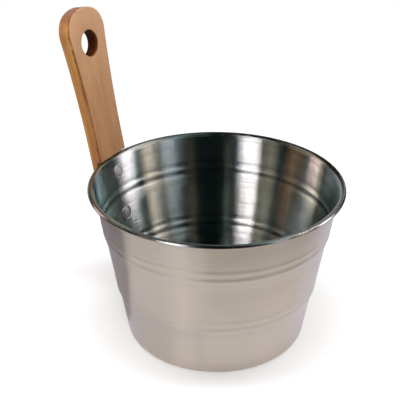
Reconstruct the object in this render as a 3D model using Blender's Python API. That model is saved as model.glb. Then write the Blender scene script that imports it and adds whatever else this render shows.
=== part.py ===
"""Sauna bucket: a drawn steel pail with two beads and a rolled rim, and a riveted wooden handle board.

Metres, +Z up. The origin is the centre of the base's underside, and the handle stands at -X.
"""

import math

import bmesh
import bpy

# Pail wall and base
PAIL_HEIGHT = 0.1565
BASE_RADIUS = 0.0878  # outside of the wall's line carried down to the floor
WALL_TAPER = math.radians(8.87)
SHEET = 0.0007
BASE_CORNER_RADIUS = 0.006
BASE_RING_INSET = 0.0258  # from the wall's line at the floor in to the middle of the ring
BASE_RING_WIDTH = 0.009
BASE_RING_HEIGHT = 0.0012

# Beads rolled into the wall, each measured down from the rim's top to the groove between its two ridges
UPPER_BEAD_DROP = 0.0380
LOWER_BEAD_DROP = 0.0969
UPPER_BEAD_STEP = 0.00103
LOWER_BEAD_STEP = 0.00135
BEAD_SLOPE_LENGTH = 0.0142
BEAD_RIDGE_OFFSET = 0.0042
LOWER_RIDGE_HEIGHT = 0.0004
UPPER_RIDGE_HEIGHT = 0.00028

# Rolled rim, outside radii of its bends
ROLL_RADIUS = 0.0048
CURL_RADIUS = 0.0020
TAIL_RADIUS = 0.0060

# Handle board
HANDLE_THICKNESS = 0.0125
HANDLE_LOW_WIDTH = 0.0419
HANDLE_TOP_WIDTH = 0.0541
HANDLE_STRAIGHT = 0.0195  # straight sides above the rim
HANDLE_WIDEST = 0.1223  # height of the widest place above the rim notch
HANDLE_CORNER_RADIUS = 0.0206
HANDLE_CROWN_RADIUS = 0.0385
HANDLE_FOOT_RADIUS = 0.007
HANDLE_FOOT_LENGTH = 0.0155  # board below the lower rivet
HANDLE_EDGE_ROUND = 0.0009
HANDLE_LET_IN = 0.00025  # how far the wall's curve is let in to the board's face at each rivet
HANG_HOLE_RADIUS = 0.0122
HANG_HOLE_HEIGHT = 0.1131

# Rivets and washers
RIVET_SHANK_RADIUS = 0.0025
UPPER_RIVET_DROP = 0.0156  # from the rim's top, as the lower one
LOWER_RIVET_DROP = 0.0603
OUTER_HEAD_RADIUS = 0.0065
OUTER_HEAD_HEIGHT = 0.0026
INNER_HEAD_RADIUS = 0.0043
INNER_HEAD_HEIGHT = 0.0015
HEAD_EDGE = 0.0007
WASHER_RADIUS = 0.0069
WASHER_THICKNESS = 0.0015
WASHER_LIP_WIDTH = 0.0013
WASHER_RECESS_DEPTH = 0.0006

# Clearances
FIT_GAP = 0.0003
CURL_GAP = 0.0004
RIM_CLEARANCE = 0.0009
NOTCH_TOP_CLEARANCE = 0.0017
CUT_MARGIN = 0.003

# Fineness of the round shapes
PAIL_SEGMENTS = 60
SMALL_SEGMENTS = 28
HOLE_SEGMENTS = 40
SMOOTH_ANGLE = math.radians(35)
BEVEL_ANGLE = math.radians(50)
DEPTH_STEPS = 40

TAPER = math.tan(WALL_TAPER)
SLANT = math.hypot(1.0, TAPER)
HALF_SHEET = SHEET / 2
CURL_HEIGHT = PAIL_HEIGHT - CURL_RADIUS
NOTCH_HEIGHT = PAIL_HEIGHT + NOTCH_TOP_CLEARANCE
UPPER_RIVET_HEIGHT = PAIL_HEIGHT - UPPER_RIVET_DROP
LOWER_RIVET_HEIGHT = PAIL_HEIGHT - LOWER_RIVET_DROP


def arc(centre_r, centre_z, radius, start, end, steps):
    """Points on an arc from angle start to angle end, in degrees, both ends included."""
    points = []
    for i in range(steps + 1):
        angle = math.radians(start + (end - start) * i / steps)
        points.append((centre_r + radius * math.cos(angle), centre_z + radius * math.sin(angle)))
    return points


def smooth_step(x):
    x = min(max(x, 0.0), 1.0)
    return x * x * (3 - 2 * x)


def ridge(x):
    return math.cos(math.pi * x / 2) ** 2 if abs(x) < 1 else 0.0


def bead_offset(height, groove_height, step):
    """How far one bead moves the wall outwards: a slope up to two ridges with a groove between them."""
    above = height - groove_height
    offset = step * smooth_step((above + BEAD_RIDGE_OFFSET + BEAD_SLOPE_LENGTH) / BEAD_SLOPE_LENGTH)
    offset += LOWER_RIDGE_HEIGHT * ridge((above + BEAD_RIDGE_OFFSET) / BEAD_RIDGE_OFFSET)
    offset += UPPER_RIDGE_HEIGHT * ridge((above - BEAD_RIDGE_OFFSET) / BEAD_RIDGE_OFFSET)
    return offset


def bead_heights(groove_height):
    """The heights that a bead's shape needs, bottom to top."""
    slope = [-BEAD_RIDGE_OFFSET - BEAD_SLOPE_LENGTH * share for share in (1.0, 0.67, 0.33)]
    ridges = [BEAD_RIDGE_OFFSET * share for share in (-1.0, -0.5, 0.0, 0.5, 1.0, 2.0)]
    return [groove_height + above for above in slope + ridges]


def wall_radius(height):
    """Radius of the middle of the sheet."""
    radius = BASE_RADIUS - HALF_SHEET * SLANT + TAPER * height
    radius += bead_offset(height, PAIL_HEIGHT - LOWER_BEAD_DROP, LOWER_BEAD_STEP)
    radius += bead_offset(height, PAIL_HEIGHT - UPPER_BEAD_DROP, UPPER_BEAD_STEP)
    return radius


def base_points():
    """Middle of the sheet from the axis to the top of the rounded corner."""
    half = BASE_RING_WIDTH / 2
    ring = BASE_RADIUS - BASE_RING_INSET
    raised = HALF_SHEET + BASE_RING_HEIGHT
    points = [(0.0, HALF_SHEET), (ring - half, HALF_SHEET)]
    points += [(ring - half / 3, raised), (ring + half / 3, raised)]
    points.append((ring + half, HALF_SHEET))
    bend = BASE_CORNER_RADIUS - HALF_SHEET
    centre_z = HALF_SHEET + bend
    centre_r = wall_radius(centre_z) - bend * SLANT
    return points + arc(centre_r, centre_z, bend, -90, -math.degrees(WALL_TAPER), 4)


def rim_centre():
    """Centre of the curl, placed so that the roll meets the wall's slope."""
    inner_line = wall_radius(PAIL_HEIGHT) - HALF_SHEET * SLANT
    return inner_line + ROLL_RADIUS * (SLANT - TAPER)


def rim_points():
    """Middle of the sheet over the rolled rim, from the wall to the edge tucked in under it."""
    centre = rim_centre()
    roll_start = 180 - math.degrees(WALL_TAPER)
    points = arc(centre, PAIL_HEIGHT - ROLL_RADIUS, ROLL_RADIUS - HALF_SHEET, roll_start, 90, 4)
    points += arc(centre, CURL_HEIGHT, CURL_RADIUS - HALF_SHEET, 90, -90, 6)[1:]
    curl_bottom = CURL_HEIGHT - CURL_RADIUS
    wall_outside = wall_radius(curl_bottom + HALF_SHEET) + HALF_SHEET * SLANT
    tail = centre - wall_outside - CURL_GAP
    end = -90 - math.degrees(math.asin(tail / TAIL_RADIUS))
    points += arc(centre, curl_bottom + TAIL_RADIUS, TAIL_RADIUS - HALF_SHEET, -90, end, 2)[1:]
    return points


def pail_path():
    """Middle of the sheet from the axis to the rim's tucked edge."""
    base = base_points()
    rim = rim_points()
    low = base[-1][1]
    high = rim[0][1]
    heights = bead_heights(PAIL_HEIGHT - LOWER_BEAD_DROP) + bead_heights(PAIL_HEIGHT - UPPER_BEAD_DROP)
    wall = [(wall_radius(z), z) for z in sorted(heights) if low < z < high]
    return base + wall + rim


def offset_path(path, distance):
    """The path moved to its left by a distance, each point along its own normal."""
    moved = []
    for i, (r, z) in enumerate(path):
        before = path[max(i - 1, 0)]
        after = path[min(i + 1, len(path) - 1)]
        if i == 0:
            after = (r + 1.0, z)
        run_r, run_z = after[0] - before[0], after[1] - before[1]
        length = math.hypot(run_r, run_z)
        moved.append((r - distance * run_z / length, z + distance * run_r / length))
    return moved


def add_object(name, mesh, material=None, parent=None):
    obj = bpy.data.objects.new(name, mesh)
    bpy.context.scene.collection.objects.link(obj)
    obj.parent = parent
    if material:
        mesh.materials.append(material)
    return obj


def finish_mesh(name, bm):
    """Makes a mesh of a bmesh, its faces turned out, shaded smooth except at its sharp edges."""
    bmesh.ops.recalc_face_normals(bm, faces=bm.faces)
    mesh = bpy.data.meshes.new(name)
    bm.to_mesh(mesh)
    bm.free()
    mesh.shade_smooth()
    mesh.set_sharp_from_angle(angle=SMOOTH_ANGLE)
    return mesh


def turned_mesh(name, profile, segments):
    """A closed solid turned about Z, from a profile of (radius, height) points."""
    bm = bmesh.new()
    rings = []
    for radius, height in profile:
        if radius == 0:
            rings.append([bm.verts.new((0.0, 0.0, height))])
            continue
        ring = []
        for i in range(segments):
            angle = math.tau * i / segments
            ring.append(bm.verts.new((radius * math.cos(angle), radius * math.sin(angle), height)))
        rings.append(ring)
    for low, high in zip(rings, rings[1:] + rings[:1]):
        for i in range(segments):
            low_edge = [low[i % len(low)], low[(i + 1) % len(low)]]
            high_edge = [high[(i + 1) % len(high)], high[i % len(high)]]
            corners = list(dict.fromkeys(low_edge + high_edge))
            if len(corners) > 2:
                bm.faces.new(corners)
    return finish_mesh(name, bm)


def cut(obj, cutter, operation="DIFFERENCE"):
    modifier = obj.modifiers.new(cutter.name, "BOOLEAN")
    modifier.operation = operation
    modifier.object = cutter
    modifier.solver = "EXACT"
    cutter.hide_render = True
    cutter.display_type = "WIRE"


def make_material(name, colour, roughness, metallic):
    material = bpy.data.materials.new(name)
    material.use_nodes = True
    shader = material.node_tree.nodes["Principled BSDF"]
    shader.inputs["Base Color"].default_value = (*colour, 1.0)
    shader.inputs["Roughness"].default_value = roughness
    shader.inputs["Metallic"].default_value = metallic
    return material


def seat_radius(height):
    """Distance from the axis to the handle's inner face where a rivet draws it to the wall."""
    return wall_radius(height) + HALF_SHEET * SLANT - HANDLE_LET_IN


HANDLE_SLOPE = (seat_radius(UPPER_RIVET_HEIGHT) - seat_radius(LOWER_RIVET_HEIGHT)) / (
    UPPER_RIVET_HEIGHT - LOWER_RIVET_HEIGHT
)
HANDLE_TILT = math.atan(HANDLE_SLOPE)


def face_radius(height):
    """Distance from the axis to the handle's inner face at any height."""
    return seat_radius(UPPER_RIVET_HEIGHT) + (height - UPPER_RIVET_HEIGHT) * HANDLE_SLOPE


def along_board(height):
    """Distance up the handle's inner face from the notch's upper edge."""
    return (height - NOTCH_HEIGHT) / math.cos(HANDLE_TILT)


def wall_depth(along):
    """Distance from the handle's inner face to the inside of the wall, square to the board."""
    height = NOTCH_HEIGHT + along * math.cos(HANDLE_TILT)
    radius = face_radius(height)
    near, far = -HANDLE_THICKNESS, HANDLE_THICKNESS
    for _ in range(DEPTH_STEPS):
        middle = (near + far) / 2
        wall = wall_radius(height + middle * math.sin(HANDLE_TILT)) - HALF_SHEET * SLANT
        if radius - middle * math.cos(HANDLE_TILT) > wall:
            near = middle
        else:
            far = middle
    return near


def board_outline():
    """Half of the board's outline as (half width, distance up the board), foot to crown."""
    foot = along_board(LOWER_RIVET_HEIGHT) - HANDLE_FOOT_LENGTH
    low, top = HANDLE_LOW_WIDTH / 2, HANDLE_TOP_WIDTH / 2
    points = [(0.0, foot)]
    points += arc(low - HANDLE_FOOT_RADIUS, foot + HANDLE_FOOT_RADIUS, HANDLE_FOOT_RADIUS, -90, 0, 4)
    rise = HANDLE_WIDEST - HANDLE_STRAIGHT
    flare_steps = 6
    for i in range(flare_steps + 1):
        share = i / flare_steps
        points.append((low + (top - low) * share ** 2, HANDLE_STRAIGHT + rise * share))
    side_lean = math.degrees(math.atan2(2 * (top - low), rise))
    lean = math.radians(side_lean)
    corner_w = top - HANDLE_CORNER_RADIUS * math.cos(lean)
    corner_t = HANDLE_WIDEST + HANDLE_CORNER_RADIUS * math.sin(lean)
    between = HANDLE_CROWN_RADIUS - HANDLE_CORNER_RADIUS
    crown_angle = math.degrees(math.acos(corner_w / between))
    crown_t = corner_t - between * math.sin(math.radians(crown_angle))
    points += arc(corner_w, corner_t, HANDLE_CORNER_RADIUS, -side_lean, crown_angle, 6)[1:]
    points += arc(0.0, crown_t, HANDLE_CROWN_RADIUS, crown_angle, 90, 4)[1:]
    return points


def make_handle(parent, material):
    """The board, modelled with its inner face at x = 0 and its back at -x."""
    right = board_outline()
    left = [(-width, along) for width, along in reversed(right[1:-1])]
    bm = bmesh.new()
    face = bm.faces.new([bm.verts.new((0.0, width, along)) for width, along in right + left])
    extruded = bmesh.ops.extrude_face_region(bm, geom=[face])
    back = [item for item in extruded["geom"] if isinstance(item, bmesh.types.BMVert)]
    bmesh.ops.translate(bm, verts=back, vec=(-HANDLE_THICKNESS, 0.0, 0.0))
    return add_object("handle", finish_mesh("handle", bm), material, parent)


def make_box(name, low, high, parent):
    bm = bmesh.new()
    bmesh.ops.create_cube(bm, size=1.0)
    size = [b - a for a, b in zip(low, high)]
    middle = [(a + b) / 2 for a, b in zip(low, high)]
    bmesh.ops.scale(bm, vec=size, verts=bm.verts)
    bmesh.ops.translate(bm, vec=middle, verts=bm.verts)
    return add_object(name, finish_mesh(name, bm), parent=parent)


def make_pin(name, radius, start, end, along, segments, parent):
    """A plain round cutter square to the board, from start to end along its thickness."""
    profile = [(0.0, start), (radius, start), (radius, end), (0.0, end)]
    pin = add_object(name, turned_mesh(name, profile, segments), parent=parent)
    place_square(pin, along)
    return pin


def place_square(obj, along):
    """Turns an object modelled about Z to point from the board into the pail, at a place along the board."""
    obj.rotation_euler = (0.0, math.pi / 2, 0.0)
    obj.location = (0.0, 0.0, along)


def make_plug(name, distance):
    """The space inside the wall, moved out from the middle of the sheet by a distance, below the rim."""
    wall = pail_path()[len(base_points()) - 1:1 - len(rim_points())]
    side = [(r + distance, z) for r, z in wall]
    low = (0.0, side[0][1])
    high = (0.0, side[-1][1])
    return add_object(name, turned_mesh(name, [low] + side + [high], PAIL_SEGMENTS))


def make_rim_notch(parent):
    """Straight slot across the board's inner face that the rolled rim passes through."""
    curl_beyond_face = (rim_centre() - face_radius(CURL_HEIGHT)) * math.cos(HANDLE_TILT)
    depth = curl_beyond_face + CURL_RADIUS + RIM_CLEARANCE
    bottom = along_board(CURL_HEIGHT - CURL_RADIUS - RIM_CLEARANCE)
    half = HANDLE_LOW_WIDTH / 2 + CUT_MARGIN
    return make_box("rim_notch_cutter", (-depth, -half, bottom), (CUT_MARGIN, half, 0.0), parent)


def cap_arc(radius, edge_height, cap_height, steps):
    """A low dome from its edge (radius, edge_height) to the axis, cap_height above the edge."""
    sphere = (radius ** 2 + cap_height ** 2) / (2 * cap_height)
    half_angle = math.asin(radius / sphere)
    points = []
    for i in range(1, steps):
        angle = half_angle * (1 - i / steps)
        points.append((sphere * math.sin(angle), edge_height + cap_height - sphere * (1 - math.cos(angle))))
    return points + [(0.0, edge_height + cap_height)]


def make_rivet(name, along, parent, material):
    """Shank with a domed outer head behind the board and a low inner head on the washer."""
    outer_seat = HANDLE_THICKNESS + FIT_GAP
    washer_face = wall_depth(along) + FIT_GAP + WASHER_THICKNESS - WASHER_RECESS_DEPTH
    inner_seat = washer_face + FIT_GAP
    outer_edge = outer_seat + HEAD_EDGE
    dome = cap_arc(OUTER_HEAD_RADIUS, outer_edge, OUTER_HEAD_HEIGHT - HEAD_EDGE, 6)
    outer_head = [(r, -z) for r, z in reversed(dome)]
    profile = outer_head + [(OUTER_HEAD_RADIUS, -outer_edge), (OUTER_HEAD_RADIUS, -outer_seat)]
    profile += [(RIVET_SHANK_RADIUS, -outer_seat), (RIVET_SHANK_RADIUS, inner_seat)]
    inner_edge = inner_seat + HEAD_EDGE
    profile += [(INNER_HEAD_RADIUS, inner_seat), (INNER_HEAD_RADIUS, inner_edge)]
    profile += cap_arc(INNER_HEAD_RADIUS, inner_edge, INNER_HEAD_HEIGHT - HEAD_EDGE, 4)
    rivet = add_object(name, turned_mesh(name, profile, SMALL_SEGMENTS), material, parent)
    place_square(rivet, along)
    return rivet


def make_washer(name, along, plug, parent, material):
    """Round washer with a raised lip, its back shaped to the curve of the wall."""
    back = wall_depth(along) - SHEET
    face = wall_depth(along) + FIT_GAP + WASHER_THICKNESS
    bore = RIVET_SHANK_RADIUS + FIT_GAP
    lip_centre = WASHER_RADIUS - WASHER_LIP_WIDTH / 2
    lip = arc(lip_centre, face - WASHER_LIP_WIDTH / 2, WASHER_LIP_WIDTH / 2, 0, 180, 6)
    floor = face - WASHER_RECESS_DEPTH
    profile = [(bore, back), (WASHER_RADIUS, back)]
    profile += [point for point in lip if point[1] > floor or point[0] > lip_centre]
    profile += [(WASHER_RADIUS - WASHER_LIP_WIDTH, floor), (bore, floor)]
    washer = add_object(name, turned_mesh(name, profile, SMALL_SEGMENTS), material, parent)
    place_square(washer, along)
    cut(washer, plug, "INTERSECT")
    return washer


def make_pail(material):
    path = pail_path()
    profile = offset_path(path, HALF_SHEET) + offset_path(path, -HALF_SHEET)[::-1]
    return add_object("pail", turned_mesh("pail", profile, PAIL_SEGMENTS), material)


def build():
    for obj in list(bpy.data.objects):
        bpy.data.objects.remove(obj, do_unlink=True)
    steel = make_material("pail_steel", (0.56, 0.53, 0.50), 0.30, 1.0)
    rivet_steel = make_material("rivet_steel", (0.62, 0.62, 0.60), 0.25, 1.0)
    wood = make_material("handle_wood", (0.46, 0.24, 0.11), 0.55, 0.0)

    pail = make_pail(steel)
    frame = add_object("handle_frame", None)
    frame.location = (-face_radius(NOTCH_HEIGHT), 0.0, NOTCH_HEIGHT)
    frame.rotation_euler = (0.0, -HANDLE_TILT, 0.0)

    handle = make_handle(frame, wood)
    through = HANDLE_THICKNESS + CUT_MARGIN
    hang_hole = make_pin(
        "hang_hole_cutter", HANG_HOLE_RADIUS, -through, CUT_MARGIN, HANG_HOLE_HEIGHT, HOLE_SEGMENTS, frame
    )
    cut(handle, hang_hole)
    rounding = handle.modifiers.new("edge_round", "BEVEL")
    rounding.width = HANDLE_EDGE_ROUND
    rounding.segments = 2
    rounding.limit_method = "ANGLE"
    rounding.angle_limit = BEVEL_ANGLE
    cut(handle, make_rim_notch(frame))
    cut(handle, make_plug("outer_wall_cutter", HALF_SHEET * SLANT + FIT_GAP))

    inner_plug = make_plug("inner_wall_cutter", -HALF_SHEET * SLANT - FIT_GAP)
    for place, height in (("upper", UPPER_RIVET_HEIGHT), ("lower", LOWER_RIVET_HEIGHT)):
        along = along_board(height)
        bore = RIVET_SHANK_RADIUS + FIT_GAP
        past_wall = wall_depth(along) + CUT_MARGIN
        cutter_name = f"{place}_shank_cutter"
        shank_hole = make_pin(cutter_name, bore, -through, past_wall, along, SMALL_SEGMENTS, frame)
        cut(handle, shank_hole)
        cut(pail, shank_hole)
        make_rivet(f"rivet_{place}", along, frame, rivet_steel)
        make_washer(f"washer_{place}", along, inner_plug, frame, rivet_steel)


build()
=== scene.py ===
"""Sauna bucket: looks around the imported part. Metres, +Z up, the handle stands at -X."""

import math

import bmesh
import bpy
from mathutils import Matrix, Vector


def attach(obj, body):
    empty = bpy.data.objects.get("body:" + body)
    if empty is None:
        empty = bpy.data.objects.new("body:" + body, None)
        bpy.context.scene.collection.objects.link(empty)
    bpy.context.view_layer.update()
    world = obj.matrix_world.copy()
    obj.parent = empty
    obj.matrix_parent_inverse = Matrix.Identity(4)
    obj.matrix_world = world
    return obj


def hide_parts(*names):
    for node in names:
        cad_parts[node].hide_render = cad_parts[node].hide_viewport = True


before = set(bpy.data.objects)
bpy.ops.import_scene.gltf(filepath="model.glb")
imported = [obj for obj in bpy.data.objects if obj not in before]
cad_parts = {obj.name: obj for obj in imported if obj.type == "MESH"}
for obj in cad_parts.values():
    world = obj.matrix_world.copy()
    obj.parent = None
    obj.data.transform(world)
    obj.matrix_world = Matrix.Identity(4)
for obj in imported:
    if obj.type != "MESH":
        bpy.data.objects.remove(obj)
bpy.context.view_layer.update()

# The part's own sizes: pail wall and base
PAIL_HEIGHT = 0.1565
BASE_RADIUS = 0.0878  # outside of the wall's line carried down to the floor
WALL_TAPER = math.radians(8.87)
SHEET = 0.0007
BASE_CORNER_RADIUS = 0.006
BASE_RING_INSET = 0.0258  # from the wall's line at the floor in to the middle of the ring
BASE_RING_WIDTH = 0.009
BASE_FLAT_SHARES = (0.0, 0.3, 0.7)  # of the ring's radius, points on the flat inside it
BASE_RING_HEIGHT = 0.0012
RING_EDGE_STEEPNESS = 1.5

# Beads rolled into the wall, each measured down from the rim's top to the groove between its two ridges
UPPER_BEAD_DROP = 0.0380
LOWER_BEAD_DROP = 0.0969
UPPER_BEAD_STEP = 0.00103
LOWER_BEAD_STEP = 0.00135
BEAD_SLOPE_LENGTH = 0.0142
BEAD_RIDGE_OFFSET = 0.0042
LOWER_RIDGE_HEIGHT = 0.0004
UPPER_RIDGE_HEIGHT = 0.00028

# Rolled rim, outside radii of its bends
ROLL_RADIUS = 0.0048
CURL_RADIUS = 0.0020
TAIL_RADIUS = 0.0060

# Handle board
HANDLE_THICKNESS = 0.0125
HANDLE_LOW_WIDTH = 0.0419
HANDLE_TOP_WIDTH = 0.0541
HANDLE_STRAIGHT = 0.0195  # straight sides above the rim
HANDLE_WIDEST = 0.1223  # height of the widest place above the rim notch
HANDLE_CORNER_RADIUS = 0.0206
HANDLE_CROWN_RADIUS = 0.0385
HANDLE_FOOT_RADIUS = 0.007
HANDLE_FOOT_LENGTH = 0.0155  # board below the lower rivet
HANDLE_EDGE_ROUND = 0.0009
HANDLE_LET_IN = 0.00025  # how far the wall's curve is let in to the board's face at each rivet
HANG_HOLE_RADIUS = 0.0122
HANG_HOLE_HEIGHT = 0.1131
NOTCH_EASE = 0.0005  # rounding of the notch's upper edge at the board's face

# Rivets and washers
RIVET_SHANK_RADIUS = 0.0025
UPPER_RIVET_DROP = 0.0156  # from the rim's top, as the lower one
LOWER_RIVET_DROP = 0.0603
OUTER_HEAD_RADIUS = 0.0065
OUTER_HEAD_HEIGHT = 0.0026
INNER_HEAD_RADIUS = 0.0043
INNER_HEAD_HEIGHT = 0.0015
HEAD_EDGE = 0.0007
FLAT_HEAD_ROUND = 0.7  # share of the inner head's height above its edge that is rounded off
FLAT_HEAD_TURN = 80  # degrees of that rounding
FLAT_HEAD_MIDDLE = 0.6  # share of the flat's radius where its slight crown begins
FLAT_HEAD_CROWN = 1.05
WASHER_RADIUS = 0.0069
WASHER_THICKNESS = 0.0015
WASHER_LIP_WIDTH = 0.0013
WASHER_RECESS_DEPTH = 0.0006

# Clearances
FIT_GAP = 0.0003
CURL_GAP = 0.0004
RIM_CLEARANCE = 0.0009
NOTCH_TOP_CLEARANCE = 0.0017
CUT_MARGIN = 0.003

TAPER = math.tan(WALL_TAPER)
SLANT = math.hypot(1.0, TAPER)
HALF_SHEET = SHEET / 2
CURL_HEIGHT = PAIL_HEIGHT - CURL_RADIUS
NOTCH_HEIGHT = PAIL_HEIGHT + NOTCH_TOP_CLEARANCE
UPPER_RIVET_HEIGHT = PAIL_HEIGHT - UPPER_RIVET_DROP
LOWER_RIVET_HEIGHT = PAIL_HEIGHT - LOWER_RIVET_DROP

# Fineness of the meshes, in steps over each bend or length
PAIL_SEGMENTS = 240
SMALL_SEGMENTS = 72
HOLE_SEGMENTS = 96
FLOOR_SEGMENTS = 96
RING_STEPS = 12
CORNER_STEPS = 12
WALL_STEPS = 130
ROLL_STEPS = 12
CURL_STEPS = 16
TAIL_STEPS = 6
FOOT_STEPS = 10
FLARE_STEPS = 24
BOARD_CORNER_STEPS = 20
CROWN_STEPS = 14
EASE_STEPS = 6
EDGE_STEPS = 5
DOME_STEPS = 16
FLAT_HEAD_STEPS = 6
LIP_STEPS = 16
DEPTH_STEPS = 40
SEAT_STRIDE = 3  # the seat cut into the board follows every third point of the wall
SMOOTH_ANGLE = math.radians(40)
BEVEL_ANGLE = math.radians(50)
SAME_POINT = 0.000002

# All pieces are drawn a hair smaller than the part, so that none stands out of its box
KEEP_IN = 0.9999
KEEP_IN_CENTRE = Vector((0.0, 0.0, 0.1))

# Camera
CAMERA_AT = (0.3057, -0.5973, 0.4870)
CAMERA_HEADING = math.radians(118.425)  # counted from +X
CAMERA_PITCH = math.radians(-27.592)
CAMERA_ROLL = math.radians(-0.093)
CAMERA_LENS = 72.0
CAMERA_SENSOR = 36.0
CAMERA_NEAR = 0.01


def arc(centre_r, centre_z, radius, start, end, steps):
    """Points on an arc from angle start to angle end, in degrees, both ends included."""
    points = []
    for i in range(steps + 1):
        angle = math.radians(start + (end - start) * i / steps)
        points.append((centre_r + radius * math.cos(angle), centre_z + radius * math.sin(angle)))
    return points


def smooth_step(x):
    x = min(max(x, 0.0), 1.0)
    return x * x * (3 - 2 * x)


def ridge(x):
    return math.cos(math.pi * x / 2) ** 2 if abs(x) < 1 else 0.0


def bead_offset(height, groove_height, step):
    """How far one bead moves the wall outwards: a slope up to two ridges with a groove between them."""
    above = height - groove_height
    offset = step * smooth_step((above + BEAD_RIDGE_OFFSET + BEAD_SLOPE_LENGTH) / BEAD_SLOPE_LENGTH)
    offset += LOWER_RIDGE_HEIGHT * ridge((above + BEAD_RIDGE_OFFSET) / BEAD_RIDGE_OFFSET)
    offset += UPPER_RIDGE_HEIGHT * ridge((above - BEAD_RIDGE_OFFSET) / BEAD_RIDGE_OFFSET)
    return offset


def wall_radius(height):
    """Radius of the middle of the sheet."""
    radius = BASE_RADIUS - HALF_SHEET * SLANT + TAPER * height
    radius += bead_offset(height, PAIL_HEIGHT - LOWER_BEAD_DROP, LOWER_BEAD_STEP)
    radius += bead_offset(height, PAIL_HEIGHT - UPPER_BEAD_DROP, UPPER_BEAD_STEP)
    return radius


def base_points():
    """Middle of the sheet from the axis to the top of the rounded corner."""
    half = BASE_RING_WIDTH / 2
    ring = BASE_RADIUS - BASE_RING_INSET
    points = [(share * ring, HALF_SHEET) for share in BASE_FLAT_SHARES]
    for i in range(RING_STEPS + 1):
        share = -1 + 2 * i / RING_STEPS
        rise = smooth_step((1 - abs(share)) * RING_EDGE_STEEPNESS)
        points.append((ring + half * share, HALF_SHEET + BASE_RING_HEIGHT * rise))
    bend = BASE_CORNER_RADIUS - HALF_SHEET
    centre_z = HALF_SHEET + bend
    centre_r = wall_radius(centre_z) - bend * SLANT
    return points + arc(centre_r, centre_z, bend, -90, -math.degrees(WALL_TAPER), CORNER_STEPS)


def rim_centre():
    """Centre of the curl, placed so that the roll meets the wall's slope."""
    inner_line = wall_radius(PAIL_HEIGHT) - HALF_SHEET * SLANT
    return inner_line + ROLL_RADIUS * (SLANT - TAPER)


def rim_points():
    """Middle of the sheet over the rolled rim, from the wall to the edge tucked in under it."""
    centre = rim_centre()
    roll_start = 180 - math.degrees(WALL_TAPER)
    points = arc(centre, PAIL_HEIGHT - ROLL_RADIUS, ROLL_RADIUS - HALF_SHEET, roll_start, 90, ROLL_STEPS)
    points += arc(centre, CURL_HEIGHT, CURL_RADIUS - HALF_SHEET, 90, -90, CURL_STEPS)[1:]
    curl_bottom = CURL_HEIGHT - CURL_RADIUS
    wall_outside = wall_radius(curl_bottom + HALF_SHEET) + HALF_SHEET * SLANT
    tail = centre - wall_outside - CURL_GAP
    end = -90 - math.degrees(math.asin(tail / TAIL_RADIUS))
    points += arc(centre, curl_bottom + TAIL_RADIUS, TAIL_RADIUS - HALF_SHEET, -90, end, TAIL_STEPS)[1:]
    return points


def pail_path():
    """Middle of the sheet from the axis to the rim's tucked edge."""
    base = base_points()
    rim = rim_points()
    low = base[-1][1]
    high = rim[0][1]
    heights = [low + (high - low) * i / WALL_STEPS for i in range(1, WALL_STEPS)]
    return base + [(wall_radius(z), z) for z in heights] + rim


def offset_path(path, distance):
    """The path moved to its left by a distance, each point along its own normal."""
    moved = []
    for i, (r, z) in enumerate(path):
        before = path[max(i - 1, 0)]
        after = path[min(i + 1, len(path) - 1)]
        if i == 0:
            after = (r + 1.0, z)
        run_r, run_z = after[0] - before[0], after[1] - before[1]
        length = math.hypot(run_r, run_z)
        moved.append((r - distance * run_z / length, z + distance * run_r / length))
    return moved


def add_object(name, mesh, material=None):
    obj = bpy.data.objects.new(name, mesh)
    bpy.context.scene.collection.objects.link(obj)
    if material:
        mesh.materials.append(material)
    return obj


def finish_mesh(name, bm):
    """Makes a mesh of a bmesh, its faces turned out, shaded smooth except at its sharp edges."""
    bmesh.ops.recalc_face_normals(bm, faces=bm.faces)
    mesh = bpy.data.meshes.new(name)
    bm.to_mesh(mesh)
    bm.free()
    mesh.shade_smooth()
    mesh.set_sharp_from_angle(angle=SMOOTH_ANGLE)
    return mesh


def turned_mesh(name, profile, segments):
    """A closed solid turned about Z, from a profile of (radius, height) points."""
    bm = bmesh.new()
    rings = []
    for radius, height in profile:
        if radius == 0:
            rings.append([bm.verts.new((0.0, 0.0, height))])
            continue
        ring = []
        for i in range(segments):
            angle = math.tau * i / segments
            ring.append(bm.verts.new((radius * math.cos(angle), radius * math.sin(angle), height)))
        rings.append(ring)
    for low, high in zip(rings, rings[1:] + rings[:1]):
        for i in range(segments):
            low_edge = [low[i % len(low)], low[(i + 1) % len(low)]]
            high_edge = [high[(i + 1) % len(high)], high[i % len(high)]]
            corners = list(dict.fromkeys(low_edge + high_edge))
            if len(corners) > 2:
                bm.faces.new(corners)
    return finish_mesh(name, bm)


def seat_radius(height):
    """Distance from the axis to the handle's inner face where a rivet draws it to the wall."""
    return wall_radius(height) + HALF_SHEET * SLANT - HANDLE_LET_IN


HANDLE_SLOPE = (seat_radius(UPPER_RIVET_HEIGHT) - seat_radius(LOWER_RIVET_HEIGHT)) / (
    UPPER_RIVET_HEIGHT - LOWER_RIVET_HEIGHT
)
HANDLE_TILT = math.atan(HANDLE_SLOPE)


def face_radius(height):
    """Distance from the axis to the handle's inner face at any height."""
    return seat_radius(UPPER_RIVET_HEIGHT) + (height - UPPER_RIVET_HEIGHT) * HANDLE_SLOPE


def along_board(height):
    """Distance up the handle's inner face from the notch's upper edge."""
    return (height - NOTCH_HEIGHT) / math.cos(HANDLE_TILT)


def wall_depth(along):
    """Distance from the handle's inner face to the inside of the wall, square to the board."""
    height = NOTCH_HEIGHT + along * math.cos(HANDLE_TILT)
    radius = face_radius(height)
    near, far = -HANDLE_THICKNESS, HANDLE_THICKNESS
    for _ in range(DEPTH_STEPS):
        middle = (near + far) / 2
        wall = wall_radius(height + middle * math.sin(HANDLE_TILT)) - HALF_SHEET * SLANT
        if radius - middle * math.cos(HANDLE_TILT) > wall:
            near = middle
        else:
            far = middle
    return near


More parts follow.
